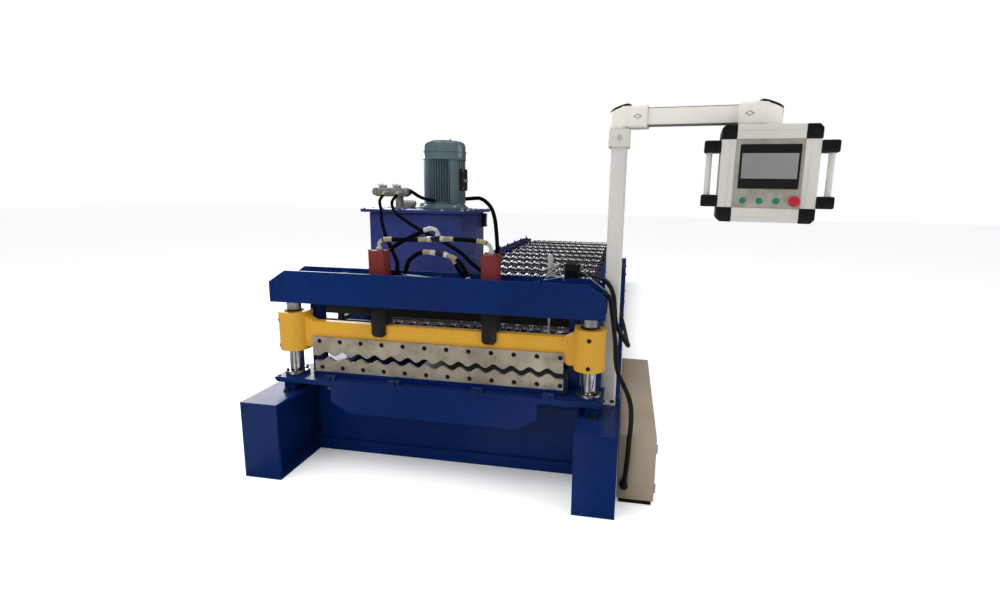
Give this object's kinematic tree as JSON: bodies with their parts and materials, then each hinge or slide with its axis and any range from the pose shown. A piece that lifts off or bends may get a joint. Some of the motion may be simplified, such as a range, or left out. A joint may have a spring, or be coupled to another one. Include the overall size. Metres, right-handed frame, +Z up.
{
  "type": "roll forming machine for corrugated roofing sheet",
  "caption": "Floor-standing roll former for corrugated sheet: long roller bed, hydraulic wave-edge shear, oil tank with motor, and a swinging operator box.",
  "frame": {"origin": "under the middle of the front cross sill, at floor level", "axes": "+Y from the shear along the bed to the sheet's entry end, +Z up, +X to the pendant's side"},
  "size_m": [2.3445, 5.779, 1.598],
  "materials": {
    "blue_paint": "glossy deep blue enamel",
    "yellow_paint": "yellow enamel",
    "red_paint": "dark red enamel",
    "green_paint": "grey-green enamel",
    "white_paint": "off-white powder coat",
    "beige_paint": "beige powder coat",
    "knife_steel": "ground tool steel",
    "chrome": "polished hard chrome",
    "black_iron": "blackened forging",
    "grey_iron": "grey phosphated iron",
    "panel_metal": "brushed panel",
    "black_hose": "satin rubber cover"
  },
  "bodies": {
    "machine": {"base_beam_left": "blue_paint", "base_beam_right": "blue_paint", "front_cross_sill": "blue_paint", "cross_member_1": "blue_paint", "cross_member_2": "blue_paint", "cross_member_3": "blue_paint", "lower_roll_bed": "chrome", "side_frame_left": "blue_paint", "side_frame_right": "blue_paint", "shear_table": "blue_paint", "apron_plate": "blue_paint", "knife_holder": "blue_paint", "lower_knife": "knife_steel", "guide_post_left": "chrome", "guide_post_right": "chrome", "rear_column_left": "blue_paint", "rear_column_right": "blue_paint", "top_beam": "blue_paint", "cylinder_left": "red_paint", "cylinder_right": "red_paint", "tank_bearer_front": "blue_paint", "tank_bearer_rear": "blue_paint", "oil_tank": "blue_paint", "tank_lid": "blue_paint", "pump_motor": "green_paint", "valve_manifold": "grey_iron", "drive_guard": "blue_paint", "encoder_unit": "grey_iron", "electrical_cabinet": "beige_paint", "pendant_mast": "white_paint", "hose_line_top": "black_hose", "hose_line_bottom": "black_hose", "supply_hose_top": "black_hose", "supply_hose_bottom": "black_hose", "motor_cable": "black_hose", "encoder_conduit": "black_hose", "pendant_conduit": "black_hose"},
    "carriage": {"shear_carriage": "yellow_paint", "upper_knife": "knife_steel", "ram_left": "black_iron", "ram_right": "black_iron"},
    "roll_01": {"upper_roll_01": "chrome"},
    "roll_02": {"upper_roll_02": "chrome"},
    "roll_03": {"upper_roll_03": "chrome"},
    "roll_04": {"upper_roll_04": "chrome"},
    "roll_05": {"upper_roll_05": "chrome"},
    "roll_06": {"upper_roll_06": "chrome"},
    "roll_07": {"upper_roll_07": "chrome"},
    "roll_08": {"upper_roll_08": "chrome"},
    "roll_09": {"upper_roll_09": "chrome"},
    "roll_10": {"upper_roll_10": "chrome"},
    "roll_11": {"upper_roll_11": "chrome"},
    "roll_12": {"upper_roll_12": "chrome"},
    "roll_13": {"upper_roll_13": "chrome"},
    "pendant_arm": {"pendant_arm": "white_paint"},
    "operator_box": {"control_box": "white_paint", "operator_panel": "panel_metal"}
  },
  "joints": [
    {"name": "shear_stroke", "type": "slide", "parent": "machine", "child": "carriage", "axis": [0, 0, -1], "range_m": [0, 0.04]},
    {"name": "roll_spin_01", "type": "hinge", "parent": "machine", "child": "roll_01", "pos_m": [0, 0.429, 0.539], "axis": [1, 0, 0], "continuous": true},
    {"name": "roll_spin_02", "type": "hinge", "parent": "machine", "child": "roll_02", "pos_m": [0, 0.829, 0.539], "axis": [1, 0, 0], "continuous": true},
    {"name": "roll_spin_03", "type": "hinge", "parent": "machine", "child": "roll_03", "pos_m": [0, 1.229, 0.539], "axis": [1, 0, 0], "continuous": true},
    {"name": "roll_spin_04", "type": "hinge", "parent": "machine", "child": "roll_04", "pos_m": [0, 1.629, 0.539], "axis": [1, 0, 0], "continuous": true},
    {"name": "roll_spin_05", "type": "hinge", "parent": "machine", "child": "roll_05", "pos_m": [0, 2.029, 0.539], "axis": [1, 0, 0], "continuous": true},
    {"name": "roll_spin_06", "type": "hinge", "parent": "machine", "child": "roll_06", "pos_m": [0, 2.429, 0.539], "axis": [1, 0, 0], "continuous": true},
    {"name": "roll_spin_07", "type": "hinge", "parent": "machine", "child": "roll_07", "pos_m": [0, 2.829, 0.539], "axis": [1, 0, 0], "continuous": true},
    {"name": "roll_spin_08", "type": "hinge", "parent": "machine", "child": "roll_08", "pos_m": [0, 3.229, 0.539], "axis": [1, 0, 0], "continuous": true},
    {"name": "roll_spin_09", "type": "hinge", "parent": "machine", "child": "roll_09", "pos_m": [0, 3.629, 0.539], "axis": [1, 0, 0], "continuous": true},
    {"name": "roll_spin_10", "type": "hinge", "parent": "machine", "child": "roll_10", "pos_m": [0, 4.029, 0.539], "axis": [1, 0, 0], "continuous": true},
    {"name": "roll_spin_11", "type": "hinge", "parent": "machine", "child": "roll_11", "pos_m": [0, 4.429, 0.539], "axis": [1, 0, 0], "continuous": true},
    {"name": "roll_spin_12", "type": "hinge", "parent": "machine", "child": "roll_12", "pos_m": [0, 4.829, 0.539], "axis": [1, 0, 0], "continuous": true},
    {"name": "roll_spin_13", "type": "hinge", "parent": "machine", "child": "roll_13", "pos_m": [0, 5.229, 0.539], "axis": [1, 0, 0], "continuous": true},
    {"name": "arm_swing", "type": "hinge", "parent": "machine", "child": "pendant_arm", "pos_m": [0.7425, 0.016, 1.545], "axis": [0, 0, 1], "range_deg": [-70, 90]},
    {"name": "box_swivel", "type": "hinge", "parent": "pendant_arm", "child": "operator_box", "pos_m": [1.294, -0.0736, 1.5], "axis": [0, 0, 1], "range_deg": [-90, 90]}
  ],
  "couplings": [
    {"joint": "roll_spin_02", "follows": "roll_spin_01", "ratio": 1},
    {"joint": "roll_spin_03", "follows": "roll_spin_01", "ratio": 1},
    {"joint": "roll_spin_04", "follows": "roll_spin_01", "ratio": 1},
    {"joint": "roll_spin_05", "follows": "roll_spin_01", "ratio": 1},
    {"joint": "roll_spin_06", "follows": "roll_spin_01", "ratio": 1},
    {"joint": "roll_spin_07", "follows": "roll_spin_01", "ratio": 1},
    {"joint": "roll_spin_08", "follows": "roll_spin_01", "ratio": 1},
    {"joint": "roll_spin_09", "follows": "roll_spin_01", "ratio": 1},
    {"joint": "roll_spin_10", "follows": "roll_spin_01", "ratio": 1},
    {"joint": "roll_spin_11", "follows": "roll_spin_01", "ratio": 1},
    {"joint": "roll_spin_12", "follows": "roll_spin_01", "ratio": 1},
    {"joint": "roll_spin_13", "follows": "roll_spin_01", "ratio": 1}
  ]
}
